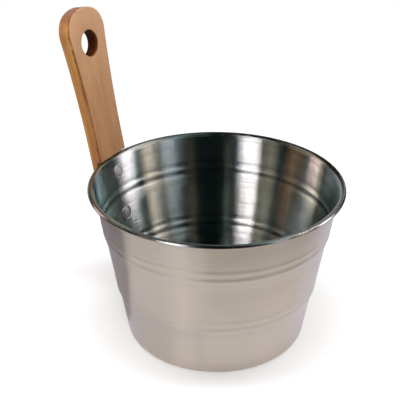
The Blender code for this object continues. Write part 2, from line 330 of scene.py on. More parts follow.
BOARD_FRAME = Matrix.Translation((-face_radius(NOTCH_HEIGHT), 0.0, NOTCH_HEIGHT)) @ Matrix.Rotation(
    -HANDLE_TILT, 4, "Y"
)


def board_outline():
    """Half of the board's outline as (half width, distance up the board), foot to crown."""
    foot = along_board(LOWER_RIVET_HEIGHT) - HANDLE_FOOT_LENGTH
    low, top = HANDLE_LOW_WIDTH / 2, HANDLE_TOP_WIDTH / 2
    points = [(0.0, foot)]
    bend = HANDLE_FOOT_RADIUS
    points += arc(low - bend, foot + bend, bend, -90, 0, FOOT_STEPS)
    rise = HANDLE_WIDEST - HANDLE_STRAIGHT
    for i in range(FLARE_STEPS + 1):
        share = i / FLARE_STEPS
        points.append((low + (top - low) * share ** 2, HANDLE_STRAIGHT + rise * share))
    side_lean = math.degrees(math.atan2(2 * (top - low), rise))
    lean = math.radians(side_lean)
    corner_w = top - HANDLE_CORNER_RADIUS * math.cos(lean)
    corner_t = HANDLE_WIDEST + HANDLE_CORNER_RADIUS * math.sin(lean)
    between = HANDLE_CROWN_RADIUS - HANDLE_CORNER_RADIUS
    crown_angle = math.degrees(math.acos(corner_w / between))
    crown_t = corner_t - between * math.sin(math.radians(crown_angle))
    points += arc(corner_w, corner_t, HANDLE_CORNER_RADIUS, -side_lean, crown_angle, BOARD_CORNER_STEPS)[1:]
    points += arc(0.0, crown_t, HANDLE_CROWN_RADIUS, crown_angle, 90, CROWN_STEPS)[1:]
    return points


def prism(name, outline, depth_axis, start, end):
    """A solid with an outline of (a, b) points, drawn out along X or Y from start to end."""
    bm = bmesh.new()
    if depth_axis == "X":
        corners = [(start, a, b) for a, b in outline]
        move = (end - start, 0.0, 0.0)
    else:
        corners = [(a, start, b) for a, b in outline]
        move = (0.0, end - start, 0.0)
    face = bm.faces.new([bm.verts.new(corner) for corner in corners])
    drawn = bmesh.ops.extrude_face_region(bm, geom=[face])
    far = [item for item in drawn["geom"] if isinstance(item, bmesh.types.BMVert)]
    bmesh.ops.translate(bm, verts=far, vec=move)
    return add_object(name, finish_mesh(name, bm))


def cut(obj, cutter):
    modifier = obj.modifiers.new(cutter.name, "BOOLEAN")
    modifier.operation = "DIFFERENCE"
    modifier.object = cutter
    modifier.solver = "EXACT"


def settle(obj, cutters):
    """Puts the modifiers' result into the mesh, joins points that coincide and takes the cutters away."""
    bpy.context.view_layer.update()
    shown = obj.evaluated_get(bpy.context.evaluated_depsgraph_get())
    mesh = bpy.data.meshes.new_from_object(shown)
    bm = bmesh.new()
    bm.from_mesh(mesh)
    bmesh.ops.remove_doubles(bm, verts=bm.verts, dist=SAME_POINT)
    bm.to_mesh(mesh)
    bm.free()
    obj.modifiers.clear()
    obj.data = mesh
    for cutter in cutters:
        bpy.data.objects.remove(cutter, do_unlink=True)
    mesh.shade_smooth()
    mesh.set_sharp_from_angle(angle=SMOOTH_ANGLE)


def make_handle(material):
    """The board, its inner face at x = 0 and its back at -x, with eased edges, hole, notch and seat."""
    right = board_outline()
    left = [(-width, along) for width, along in reversed(right[1:-1])]
    board = prism("handle_board", right + left, "X", 0.0, -HANDLE_THICKNESS)
    board.data.materials.append(material)

    through = HANDLE_THICKNESS + CUT_MARGIN
    half_pin = [(0.0, -through), (HANG_HOLE_RADIUS, -through)]
    half_pin += [(HANG_HOLE_RADIUS, CUT_MARGIN), (0.0, CUT_MARGIN)]
    hole = add_object("hole_cutter", turned_mesh("hole_cutter", half_pin, HOLE_SEGMENTS))
    hole.rotation_euler = (0.0, math.pi / 2, 0.0)
    hole.location = (0.0, 0.0, HANG_HOLE_HEIGHT)
    cut(board, hole)

    rounding = board.modifiers.new("edge_round", "BEVEL")
    rounding.width = HANDLE_EDGE_ROUND
    rounding.segments = EDGE_STEPS
    rounding.limit_method = "ANGLE"
    rounding.angle_limit = BEVEL_ANGLE

    beyond = (rim_centre() - face_radius(CURL_HEIGHT)) * math.cos(HANDLE_TILT)
    depth = beyond + CURL_RADIUS + RIM_CLEARANCE
    bottom = along_board(CURL_HEIGHT - CURL_RADIUS - RIM_CLEARANCE)
    half = HANDLE_LOW_WIDTH / 2 + CUT_MARGIN
    lip = arc(-NOTCH_EASE, NOTCH_EASE, NOTCH_EASE, -90, 0, EASE_STEPS)
    slot = [(CUT_MARGIN, bottom), (-depth, bottom), (-depth, 0.0)] + lip + [(CUT_MARGIN, NOTCH_EASE)]
    notch = prism("notch_cutter", slot, "Y", -half, half)
    cut(board, notch)

    wall = pail_path()[len(base_points()) - 1:1 - len(rim_points())]
    side = [(r + HALF_SHEET * SLANT + FIT_GAP, z) for r, z in wall[::SEAT_STRIDE] + wall[-1:]]
    plug_profile = [(0.0, side[0][1])] + side + [(0.0, side[-1][1])]
    plug = add_object("wall_cutter", turned_mesh("wall_cutter", plug_profile, PAIL_SEGMENTS))
    plug.matrix_world = BOARD_FRAME.inverted()
    cut(board, plug)
    settle(board, [hole, notch, plug])
    board.data.transform(BOARD_FRAME)
    return board


def cap_arc(radius, edge_height, cap_height, steps):
    """A low dome from its edge (radius, edge_height) to the axis, cap_height above the edge."""
    sphere = (radius ** 2 + cap_height ** 2) / (2 * cap_height)
    half_angle = math.asin(radius / sphere)
    points = []
    for i in range(1, steps):
        angle = half_angle * (1 - i / steps)
        points.append((sphere * math.sin(angle), edge_height + cap_height - sphere * (1 - math.cos(angle))))
    return points + [(0.0, edge_height + cap_height)]


def flat_cap(radius, edge_height, cap_height, steps):
    """A nearly flat disc with a rounded edge, from (radius, edge_height) to the axis."""
    flat = radius - cap_height
    points = arc(flat, edge_height, cap_height, 0, FLAT_HEAD_TURN, steps)[1:]
    points.append((FLAT_HEAD_MIDDLE * flat, edge_height + cap_height))
    return points + [(0.0, edge_height + FLAT_HEAD_CROWN * cap_height)]


def place_square(obj, along):
    """Turns an object modelled about Z to point from the board into the pail, so far along the board."""
    turn = Matrix.Rotation(math.pi / 2, 4, "Y")
    obj.matrix_world = BOARD_FRAME @ Matrix.Translation((0.0, 0.0, along)) @ turn


def make_rivet(name, along, material):
    """Shank with a domed outer head behind the board and a low inner head on the washer."""
    outer_seat = HANDLE_THICKNESS + FIT_GAP
    washer_face = wall_depth(along) + FIT_GAP + WASHER_THICKNESS - WASHER_RECESS_DEPTH
    inner_seat = washer_face + FIT_GAP
    outer_edge = outer_seat + HEAD_EDGE
    dome = cap_arc(OUTER_HEAD_RADIUS, outer_edge, OUTER_HEAD_HEIGHT - HEAD_EDGE, DOME_STEPS)
    outer_head = [(r, -z) for r, z in reversed(dome)]
    profile = outer_head + [(OUTER_HEAD_RADIUS, -outer_edge), (OUTER_HEAD_RADIUS, -outer_seat)]
    profile += [(RIVET_SHANK_RADIUS, -outer_seat), (RIVET_SHANK_RADIUS, inner_seat)]
    inner_edge = inner_seat + HEAD_EDGE
    profile += [(INNER_HEAD_RADIUS, inner_seat), (INNER_HEAD_RADIUS, inner_edge)]
    rounded = FLAT_HEAD_ROUND * (INNER_HEAD_HEIGHT - HEAD_EDGE)
    profile += flat_cap(INNER_HEAD_RADIUS, inner_edge, rounded, FLAT_HEAD_STEPS)
    rivet = add_object(name, turned_mesh(name, profile, SMALL_SEGMENTS), material)
    place_square(rivet, along)
    return rivet


def make_washer(name, along, material):
    """Round washer with a raised lip, let into the middle of the wall's sheet."""
    back = wall_depth(along) - HALF_SHEET
    face = wall_depth(along) + FIT_GAP + WASHER_THICKNESS
    bore = RIVET_SHANK_RADIUS + FIT_GAP
    lip_centre = WASHER_RADIUS - WASHER_LIP_WIDTH / 2
    lip = arc(lip_centre, face - WASHER_LIP_WIDTH / 2, WASHER_LIP_WIDTH / 2, 0, 180, LIP_STEPS)
    floor = face - WASHER_RECESS_DEPTH
    profile = [(bore, back), (WASHER_RADIUS, back)]
    profile += [point for point in lip if point[1] > floor or point[0] > lip_centre]
    profile += [(WASHER_RADIUS - WASHER_LIP_WIDTH, floor), (bore, floor)]
    washer = add_object(name, turned_mesh(name, profile, SMALL_SEGMENTS), material)
    place_square(washer, along)
    return washer


WALL_FINISH_ON_ROLL = 3  # steps of the roll that still have the inner wall's finish


def make_pail(outside, inside, turned):
    """The shell. Its outside and its inner wall have their own finishes and painted reflection tints, rim
    and inner base are turned.
    """
    path = pail_path()
    profile = offset_path(path, HALF_SHEET) + offset_path(path, -HALF_SHEET)[::-1]
    pail = add_object("pail_shell", turned_mesh("pail_shell", profile, PAIL_SEGMENTS), outside)
    pail.data.materials.append(inside)
    pail.data.materials.append(turned)
    corner_start = len(base_points()) - CORNER_STEPS
    roll_start = len(path) - len(rim_points()) + WALL_FINISH_ON_ROLL
    widest = max(range(len(path)), key=lambda i: path[i][0])
    for face in pail.data.polygons:
        ring = face.index // PAIL_SEGMENTS
        if ring >= widest - 1:
            face.material_index = 0
        elif corner_start <= ring < roll_start:
            face.material_index = 1
        else:
            face.material_index = 2
    return pail


# The Mix node's sockets for colours
MIX_FIRST, MIX_SECOND, MIX_RESULT = 6, 7, 2


class Nodes:
    """Short calls to build a node tree."""

    def __init__(self, tree):
        self.tree = tree
        self.tree.nodes.clear()

    def add(self, kind, **settings):
        node = self.tree.nodes.new(kind)
        for key, value in settings.items():
            setattr(node, key, value)
        return node

    def link(self, output, socket):
        """Joins an output to a socket, or sets the socket to a plain number or colour."""
        if isinstance(output, (int, float)):
            socket.default_value = output
        elif isinstance(output, tuple):
            socket.default_value = output if len(output) == len(socket.default_value) else (*output, 1.0)
        else:
            self.tree.links.new(output, socket)

    def end_in(self, shader, kind="ShaderNodeOutputMaterial"):
        """Joins the finished shader to the tree's output."""
        self.link(shader.outputs[0], self.add(kind).inputs[0])

    def math(self, operation, *values):
        node = self.add("ShaderNodeMath", operation=operation)
        for socket, value in zip(node.inputs, values):
            self.link(value, socket)
        return node.outputs[0]

    def length(self, across, up):
        """The length of a slanting line from its two sides."""
        squares = self.math("MULTIPLY", across, across), self.math("MULTIPLY", up, up)
        return self.math("SQRT", self.math("ADD", *squares))

    def blend(self, amount, first, second):
        """A colour from first to second, as amount goes from 0 to 1."""
        node = self.add("ShaderNodeMix", data_type="RGBA")
        self.link(amount, node.inputs[0])
        self.link(first, node.inputs[MIX_FIRST])
        self.link(second, node.inputs[MIX_SECOND])
        return node.outputs[MIX_RESULT]

    def ramp(self, value, stops):
        """A ramp of greys with stops of (position, grey), eased from each to the next."""
        node = self.add("ShaderNodeValToRGB")
        self.link(value, node.inputs[0])
        node.color_ramp.interpolation = "EASE"
        elements = node.color_ramp.elements
        while len(elements) < len(stops):
            elements.new(0.5)
        for element, (position, grey) in zip(elements, stops):
            element.position = position
            element.color = (grey, grey, grey, 1.0)
        return node.outputs[0]

    def span(self, value, low, high, to_low=0.0, to_high=1.0):
        """Value carried from the range low to high on to the range to_low to to_high, and kept in it."""
        node = self.add("ShaderNodeMapRange")
        self.link(value, node.inputs[0])
        for socket, number in zip(node.inputs[1:5], (low, high, to_low, to_high)):
            socket.default_value = number
        return node.outputs[0]

    def noise(self, vector, detail, roughness):
        """Noise from 0 to 1, at the scale that its coordinates carry."""
        node = self.add("ShaderNodeTexNoise")
        self.link(vector, node.inputs["Vector"])
        node.inputs["Scale"].default_value = 1.0
        node.inputs["Detail"].default_value = detail
        node.inputs["Roughness"].default_value = roughness
        return node.outputs["Fac"]

    def place(self, scale):
        """Object coordinates stretched by scale."""
        where = self.add("ShaderNodeTexCoord")
        mapping = self.add("ShaderNodeMapping")
        self.link(where.outputs["Object"], mapping.inputs["Vector"])
        mapping.inputs["Scale"].default_value = scale
        return mapping.outputs[0]

    def split(self, vector):
        node = self.add("ShaderNodeSeparateXYZ")
        self.link(vector, node.inputs[0])
        return node.outputs

    def on_board(self, scale, shift=(0.0, 0.0, 0.0)):
        """Coordinates square to the handle's board, stretched by scale."""
        where = self.add("ShaderNodeTexCoord")
        square = self.add("ShaderNodeMapping", vector_type="TEXTURE")
        self.link(where.outputs["Object"], square.inputs["Vector"])
        square.inputs["Location"].default_value = BOARD_FRAME.translation
        square.inputs["Rotation"].default_value = (0.0, -HANDLE_TILT, 0.0)
        stretch = self.add("ShaderNodeMapping")
        self.link(square.outputs[0], stretch.inputs["Vector"])
        stretch.inputs["Scale"].default_value = scale
        stretch.inputs["Location"].default_value = shift
        return stretch.outputs[0]

    def round_axis(self, split, climb, across, along, shift):
        """Coordinates for brush lines round the axis, close together up the wall and out along the base."""
        node = self.add("ShaderNodeCombineXYZ")
        places = (split["X"], split["Y"], climb)
        for socket, place, scale, start in zip(node.inputs, places, (across, across, along), shift):
            self.link(self.math("MULTIPLY_ADD", place, scale, start), socket)
        return node.outputs[0]

    def bump(self, height, distance, strength):
        node = self.add("ShaderNodeBump")
        node.inputs["Strength"].default_value = strength
        node.inputs["Distance"].default_value = distance
        self.link(height, node.inputs["Height"])
        return node.outputs[0]

    def vector(self, operation, first, second=None, scale=None):
        node = self.add("ShaderNodeVectorMath", operation=operation)
        self.link(first, node.inputs[0])
        if second is not None:
            self.link(second, node.inputs[1])
        if scale is not None:
            self.link(scale, node.inputs["Scale"])
        return node.outputs[0]

    def leaned(self, slope, tangent):
        """The surface normal leaned up and down the wall by slope, as the sides of brush lines lean."""
        normal = self.add("ShaderNodeNewGeometry").outputs["Normal"]
        across = self.vector("CROSS_PRODUCT", normal, tangent)
        lean = self.vector("SCALE", across, scale=slope)
        return self.vector("NORMALIZE", self.vector("ADD", normal, lean))


def new_material(name):
    material = bpy.data.materials.new(name)
    material.use_nodes = True
    return material, Nodes(material.node_tree)


def surface_material(name):
    material, nodes = new_material(name)
    shader = nodes.add("ShaderNodeBsdfPrincipled")
    nodes.end_in(shader)
    return material, nodes, shader


BRUSH_LINES = 1820.0  # per metre of height and radius together
LINE_DRIFT = 4.0  # how far the brush lines wander off level, in lines
BANDS_ROUND = 7.0  # scales round the pail of the bands, the marks and the drift of the lines
MARKS_ROUND = 4.0
DRIFT_ROUND = 9.0
DRIFT_UP = 140.0
MARKS_IN_BAND = 1.3
CLOUD_SCALE = (22.0, 22.0, 30.0)
MARK_SHARE = 0.7  # of the tone, the rest is cloud
ROUGH_SPREAD = 0.02
STEEL_ANISOTROPY = 0.8
QUARTER_TURN = 0.25

# Painted highlights on the ridges and painted shade in the grooves, standing in for the beads' slopes
# mirroring other heights: (height, share of the wall's tone)
TONE_LOW = 0.040
TONE_HIGH = 0.135
TONE_TOP = 1.7
INSIDE_BEAD_PAINTED_LIGHT = [
    (0.0450, 1.00), (0.0495, 0.97), (0.0532, 1.38), (0.0577, 0.62), (0.0617, 1.50), (0.0665, 0.75),
    (0.0705, 1.00), (0.1035, 1.00), (0.1080, 0.96), (0.1120, 1.28), (0.1168, 0.58), (0.1210, 1.38),
    (0.1262, 0.76), (0.1305, 1.00),
]
OUTSIDE_BEAD_PAINTED_LIGHT = [
    (0.0440, 1.000), (0.0500, 1.000), (0.0535, 1.012), (0.0580, 0.975), (0.0620, 1.018), (0.0660, 0.992),
    (0.0720, 1.000), (0.1040, 1.000), (0.1090, 1.000), (0.1130, 1.015), (0.1180, 0.990), (0.1220, 1.015),
    (0.1260, 0.998), (0.1310, 1.000),
]
PLAIN_TONES = [(TONE_LOW, 1.0), (TONE_HIGH, 1.0)]

# Finishes: leans is how far the brush lines lean the surface down and up, band_slope how far wide bands do.
# Their dark, light and grazing colours also carry painted reflection tints: warm on the outside, teal on
# the inner wall and on the turned rim and base.
OUTSIDE_STEEL = {
    "leans": (-0.20, 0.20), "line_scale": 735.0, "band_slope": 0.06, "rough": 0.30,
    "dark": (0.530, 0.460, 0.400), "light": (0.560, 0.490, 0.430), "grazing": (0.84, 0.85, 0.98),
    "painted_bead_light": OUTSIDE_BEAD_PAINTED_LIGHT,
}
INSIDE_STEEL = {
    "leans": (-0.65, 0.10), "line_scale": 820.0, "band_slope": 0.12, "rough": 0.15,
    "dark": (0.330, 0.363, 0.354), "light": (0.540, 0.595, 0.579), "grazing": (0.60, 0.86, 0.90),
    "painted_bead_light": INSIDE_BEAD_PAINTED_LIGHT,
}
TURNED_STEEL = {
    "leans": (-0.04, 0.04), "line_scale": 600.0, "band_slope": 0.03, "rough": 0.27,
    "dark": (0.365, 0.405, 0.400), "light": (0.410, 0.455, 0.450), "grazing": (0.80, 0.89, 0.89),
    "painted_bead_light": PLAIN_TONES,
}


def brushed_steel(name, leans, line_scale, band_slope, rough, dark, light, grazing, painted_bead_light):
    """Stainless sheet brushed round the pail, so lights stretch out up and down the wall, with painted
    light and shade along the beads.
    """
    material, nodes, shader = surface_material(name)
    split = nodes.split(nodes.add("ShaderNodeTexCoord").outputs["Object"])
    radius = nodes.length(split["X"], split["Y"])
    climb = nodes.math("ADD", split["Z"], radius)
    mark_scale = MARKS_IN_BAND * line_scale
    bands = nodes.noise(nodes.round_axis(split, climb, BANDS_ROUND, line_scale, (3.1, 1.7, 0.4)), 2.0, 0.6)
    cloud = nodes.noise(nodes.place(CLOUD_SCALE), 3.0, 0.55)
    marks = nodes.noise(nodes.round_axis(split, climb, MARKS_ROUND, mark_scale, (1.3, 0.6, 2.2)), 2.0, 0.7)
    tone = nodes.math(
        "ADD", nodes.math("MULTIPLY", marks, MARK_SHARE), nodes.math("MULTIPLY", cloud, 1 - MARK_SHARE)
    )
    tone = nodes.span(tone, 0.38, 0.62)
    # Painted highlights and painted shade along the beads, by height
    reach = TONE_HIGH - TONE_LOW
    stops = [((height - TONE_LOW) / reach, share / TONE_TOP) for height, share in painted_bead_light]
    painted_bead_ramp = nodes.ramp(nodes.span(split["Z"], TONE_LOW, TONE_HIGH), stops)
    painted_bead_factor = nodes.vector("SCALE", painted_bead_ramp, scale=TONE_TOP)
    colour = nodes.vector("MULTIPLY", nodes.blend(tone, dark, light), painted_bead_factor)
    nodes.link(colour, shader.inputs["Base Color"])
    shader.inputs["Metallic"].default_value = 1.0
    roughness = nodes.span(cloud, 0.3, 0.7, rough - ROUGH_SPREAD, rough + ROUGH_SPREAD)
    nodes.link(roughness, shader.inputs["Roughness"])
    shader.inputs["Specular Tint"].default_value = (*grazing, 1.0)
    shader.inputs["Anisotropic"].default_value = STEEL_ANISOTROPY
    shader.inputs["Anisotropic Rotation"].default_value = QUARTER_TURN
    tangent = nodes.add("ShaderNodeTangent", direction_type="RADIAL", axis="Z").outputs[0]
    nodes.link(tangent, shader.inputs["Tangent"])
    drift = nodes.noise(nodes.round_axis(split, climb, DRIFT_ROUND, DRIFT_UP, (0.4, 2.2, 1.1)), 2.0, 0.5)
    lines = nodes.math("MULTIPLY", climb, BRUSH_LINES)
    lines = nodes.math("ADD", lines, nodes.math("MULTIPLY", drift, LINE_DRIFT))
    groove = nodes.span(nodes.math("FRACT", lines), 0.0, 1.0, *leans)
    band = nodes.math("MULTIPLY", nodes.math("SUBTRACT", bands, 0.5), band_slope)
    nodes.link(nodes.leaned(nodes.math("ADD", groove, band), tangent), shader.inputs["Normal"])
    return material


RIVET_DARK = (0.84, 0.85, 0.84)
RIVET_LIGHT = (0.94, 0.95, 0.94)
TURNING_MARK_SCALE = (900.0, 900.0, 2600.0)
RIVET_CLOUD_SCALE = (160.0, 160.0, 160.0)
RIVET_ROUGH = (0.44, 0.54)
TURNING_MARK_DEPTH = 0.00002


def rivet_steel():
    """Plain bright steel with faint turning marks."""
    material, nodes, shader = surface_material("rivet_steel")
    marks = nodes.noise(nodes.place(TURNING_MARK_SCALE), 3.0, 0.6)
    cloud = nodes.noise(nodes.place(RIVET_CLOUD_SCALE), 2.0, 0.5)
    colour = nodes.blend(nodes.span(cloud, 0.3, 0.7), RIVET_DARK, RIVET_LIGHT)
    nodes.link(colour, shader.inputs["Base Color"])
    shader.inputs["Metallic"].default_value = 1.0
    nodes.link(nodes.span(marks, 0.3, 0.7, *RIVET_ROUGH), shader.inputs["Roughness"])
    nodes.link(nodes.bump(marks, TURNING_MARK_DEPTH, 0.5), shader.inputs["Normal"])
    return material


WOOD_DARK = (0.480, 0.240, 0.105)
WOOD_LIGHT = (0.565, 0.310, 0.160)
WOOD_PALE = (0.700, 0.425, 0.260)
STREAK = (0.42, 0.175, 0.085)
FINE_GRAIN = (0.30, 0.13, 0.05)
FLECK = (0.28, 0.10, 0.045)
PATCH = (0.38, 0.165, 0.080)
SIDE_LIGHT = (0.60, 0.280, 0.066)
SIDE_DARK = (0.40, 0.160, 0.050)
END_GRAIN = (0.22, 0.105, 0.065)
DARK_ROUND_EDGE = (0.24, 0.085, 0.025)
EDGE_LINE = (0.19, 0.070, 0.022)
# Painted highlight on the upper front edge
PAINTED_EDGE_HIGHLIGHT = (0.76, 0.50, 0.31)
# Painted shade on the hanging hole's wall, deepest away from the front, over varnish-darkened wood
HOLE_SHADE_DEEP = (0.050, 0.008, 0.0003)
HOLE_SHADE_MOUTH = (0.150, 0.045, 0.003)
WOOD_ROUGH = (0.45, 0.60)
WOOD_SPECULAR = 0.2
PORE_DEPTH = 0.00015
EDGE_LINE_REACH = (-0.0022, -0.0002)  # from the board's face, minus is behind it, as in the two below
EDGE_LINE_DRIFT = (-0.0012, 0.0022)
HOLE_SHADE_REACH = (-0.0040, -0.0003)
HOLE_MARGIN = (0.0007, 0.0002)  # outside the hole's radius, where its dark wall fades in
PALER_ABOVE = (0.060, 0.140)  # up the board, from where it grows paler to where it is palest


def board_wood():
    """Oiled hardwood, its grain along the board, darker on end grain and on round edges, with a painted
    highlight on the upper edge and painted shade in the hole.
    """
    material, nodes, shader = surface_material("board_wood")

    # Grain: a wide soft tone, streaks and fine pores along the board
    wide = nodes.noise(nodes.on_board((55.0, 70.0, 9.0)), 3.0, 0.5)
    streaks = nodes.noise(nodes.on_board((110.0, 170.0, 11.0), (0.7, 0.2, 0.5)), 4.0, 0.6)
    fine = nodes.noise(nodes.on_board((700.0, 900.0, 30.0)), 4.0, 0.6)
    colour = nodes.blend(nodes.span(wide, 0.35, 0.65), WOOD_DARK, WOOD_LIGHT)
    colour = nodes.blend(nodes.span(streaks, 0.52, 0.72, 0.0, 0.55), colour, STREAK)
    colour = nodes.blend(nodes.span(fine, 0.45, 0.80, 0.0, 0.30), colour, FINE_GRAIN)

    # Short flecks, darker patches, and a paler upper end
    flecks = nodes.noise(nodes.on_board((1200.0, 1100.0, 380.0), (0.2, 0.6, 0.9)), 1.0, 0.5)
    colour = nodes.blend(nodes.span(flecks, 0.56, 0.70, 0.0, 0.50), colour, FLECK)
    patches = nodes.noise(nodes.on_board((60.0, 90.0, 45.0), (0.3, 0.9, 0.2)), 3.0, 0.6)
    colour = nodes.blend(nodes.span(patches, 0.50, 0.68, 0.0, 0.25), colour, PATCH)
    across = nodes.split(nodes.on_board((1.0, 1.0, 1.0)))
    paler = nodes.span(across["Z"], *PALER_ABOVE, 0.0, 0.45)
    colour = nodes.blend(paler, colour, WOOD_PALE)

    # Sides, end grain and darker round edges
    facing = nodes.split(nodes.add("ShaderNodeNewGeometry").outputs["Normal"])
    sideways = nodes.math("ABSOLUTE", facing["Y"])
    side = nodes.span(sideways, 0.5, 0.9, 0.0, 0.85)
    side_colour = nodes.blend(nodes.span(streaks, 0.40, 0.62), SIDE_LIGHT, SIDE_DARK)
    colour = nodes.blend(side, colour, side_colour)
    end_grain = nodes.span(facing["Z"], 0.30, 0.85, 0.0, 0.85)
    colour = nodes.blend(end_grain, colour, END_GRAIN)
    round_edge = nodes.math("MULTIPLY", nodes.span(sideways, 0.25, 0.55), nodes.span(sideways, 0.95, 0.70))
    dark_round = nodes.math("MULTIPLY", round_edge, nodes.span(wide, 0.35, 0.60, 0.15, 0.75))
    colour = nodes.blend(dark_round, colour, DARK_ROUND_EDGE)

    # A dark line along the sides' front edge, and a painted highlight along the upper front edge where it
    # turns up towards the light
    reach = nodes.math("ADD", across["X"], nodes.span(patches, 0.35, 0.65, *EDGE_LINE_DRIFT))
    near_face = nodes.span(reach, *EDGE_LINE_REACH)
    edge_line_mask = nodes.math("MULTIPLY", near_face, nodes.span(sideways, 0.45, 0.75, 0.0, 0.90))
    colour = nodes.blend(edge_line_mask, colour, EDGE_LINE)
    turned_up = nodes.span(facing["X"], 0.97, 0.80)
    painted_highlight = nodes.math("MULTIPLY", nodes.span(facing["X"], 0.30, 0.60), turned_up)
    painted_highlight = nodes.math("MULTIPLY", painted_highlight, nodes.span(facing["Z"], 0.10, 0.40, 0.0, 0.9))
    painted_highlight = nodes.math("MULTIPLY", painted_highlight, nodes.span(streaks, 0.40, 0.60))
    colour = nodes.blend(painted_highlight, colour, PAINTED_EDGE_HIGHLIGHT)

    # The wall of the hanging hole: varnish-darkened wood with painted shade, deepest away from the front
    rise = nodes.math("SUBTRACT", across["Z"], HANG_HOLE_HEIGHT)
    from_hole = nodes.length(rise, across["Y"])
    in_hole = nodes.span(from_hole, *(HANG_HOLE_RADIUS + margin for margin in HOLE_MARGIN))
    depth = nodes.span(across["X"], *HOLE_SHADE_REACH)
    colour = nodes.blend(in_hole, colour, nodes.blend(depth, HOLE_SHADE_DEEP, HOLE_SHADE_MOUTH))

    nodes.link(colour, shader.inputs["Base Color"])
    shader.inputs["Specular IOR Level"].default_value = WOOD_SPECULAR
    nodes.link(nodes.span(fine, 0.3, 0.7, *WOOD_ROUGH), shader.inputs["Roughness"])
    nodes.link(nodes.bump(fine, PORE_DEPTH, 0.25), shader.inputs["Normal"])
    return material


def make_camera():
    forward = Vector((
        math.cos(CAMERA_HEADING) * math.cos(CAMERA_PITCH),
        math.sin(CAMERA_HEADING) * math.cos(CAMERA_PITCH),
        math.sin(CAMERA_PITCH),
    ))
    level = Vector((math.sin(CAMERA_HEADING), -math.cos(CAMERA_HEADING), 0.0))
    upright = level.cross(forward)
    right = math.cos(CAMERA_ROLL) * level + math.sin(CAMERA_ROLL) * upright
    up = right.cross(forward)
    turn = Matrix((right, up, -forward)).transposed().to_4x4()
    data = bpy.data.cameras.new("camera")
    data.lens = CAMERA_LENS
    data.sensor_width = CAMERA_SENSOR
    data.clip_start = CAMERA_NEAR
    camera = bpy.data.objects.new("camera", data)
    bpy.context.scene.collection.objects.link(camera)
    camera.matrix_world = Matrix.Translation(CAMERA_AT) @ turn
    bpy.context.scene.camera = camera


def seen_as_background(nodes):
    """1 for the rays that show the background: camera, glossy and transmission rays."""
    path = nodes.add("ShaderNodeLightPath")
    seen = nodes.math("MAXIMUM", path.outputs["Is Camera Ray"], path.outputs["Is Glossy Ray"])
    return nodes.math("MAXIMUM", seen, path.outputs["Is Transmission Ray"])


FLOOR_RADIUS = 0.62
FLOOR_COLOUR = 0.86
FLOOR_UNEVENNESS = 0.01
FLOOR_GLOW = 0.27
AMBIENT = 0.40
WHITE = (1.0, 1.0, 1.0)


def make_floor():
    """A plain pale floor that keeps the object's shadow and meets the white background."""
    bm = bmesh.new()
    bmesh.ops.create_circle(bm, cap_ends=True, segments=FLOOR_SEGMENTS, radius=FLOOR_RADIUS)
    floor = add_object("floor", finish_mesh("floor", bm))
    material, nodes = new_material("floor")
    diffuse = nodes.add("ShaderNodeBsdfDiffuse")
    paper = nodes.noise(nodes.place((30.0, 30.0, 30.0)), 3.0, 0.5)
    low, high = FLOOR_COLOUR - FLOOR_UNEVENNESS, FLOOR_COLOUR + FLOOR_UNEVENNESS
    colour = nodes.blend(nodes.span(paper, 0.3, 0.7), (low, low, low), (high, high, high))
    nodes.link(colour, diffuse.inputs[0])
    glow = nodes.add("ShaderNodeEmission")
    nodes.link(nodes.math("MULTIPLY", seen_as_background(nodes), FLOOR_GLOW), glow.inputs["Strength"])
    both = nodes.add("ShaderNodeAddShader")
    nodes.link(diffuse.outputs[0], both.inputs[0])
    nodes.link(glow.outputs[0], both.inputs[1])
    nodes.end_in(both)
    material.cycles.emission_sampling = "NONE"
    floor.data.materials.append(material)


def make_world():
    """Even soft light, and a white background for the rays that show it."""
    world = bpy.data.worlds.new("studio")
    bpy.context.scene.world = world
    world.use_nodes = True
    nodes = Nodes(world.node_tree)
    ambient = nodes.add("ShaderNodeBackground")
    nodes.link(WHITE, ambient.inputs["Color"])
    ambient.inputs["Strength"].default_value = AMBIENT
    white = nodes.add("ShaderNodeBackground")
    nodes.link(WHITE, white.inputs["Color"])
    white.inputs["Strength"].default_value = 1.0
    mix = nodes.add("ShaderNodeMixShader")
    nodes.link(seen_as_background(nodes), mix.inputs[0])
    nodes.link(ambient.outputs[0], mix.inputs[1])
    nodes.link(white.outputs[0], mix.inputs[2])
    nodes.end_in(mix, "ShaderNodeOutputWorld")
    world.cycles.sampling_method = "NONE"


# What the steel mirrors: a dark tent with lit panels round the pail.
# Each has (from, to) in degrees from +X, (from, to) in degrees of height, strength and colour.
ALL_ROUND = (0, 360)
TENT_RADIUS = 1.6
PANEL_RADIUS = 1.58
TENT_CENTRE = 0.1  # height of the tent's middle
TENT_LOW = -4
TENT_TOP = 89.9
SPLIT = 18
PANEL_TOP = 62
LOW = (TENT_LOW, SPLIT)
TALL = (TENT_LOW, 22)
HIGH = (SPLIT, PANEL_TOP)
TOP = (PANEL_TOP, 88)
COOL_WHITE = (0.80, 0.95, 1.0)
WARM_WHITE = (1.0, 0.85, 0.87)
LILAC_WHITE = (1.0, 0.89, 1.0)
ROSE = (1.0, 0.60, 0.62)
SAND = (1.0, 0.88, 0.66)
GREY = (0.90, 0.98, 1.0)
LILAC = (0.85, 0.76, 1.0)
MAUVE = (1.0, 0.90, 0.92)
PINK_SAND = (1.0, 0.79, 0.60)
PAPER = (1.0, 1.0, 1.0)
WARM_PAPER = (1.0, 0.98, 0.92)
BLUE = (0.60, 0.62, 1.0)
TEAL = (0.45, 1.0, 0.95)
PALE_TEAL = (0.75, 1.0, 0.97)
DARK = (0.30, 1.0, 0.95)
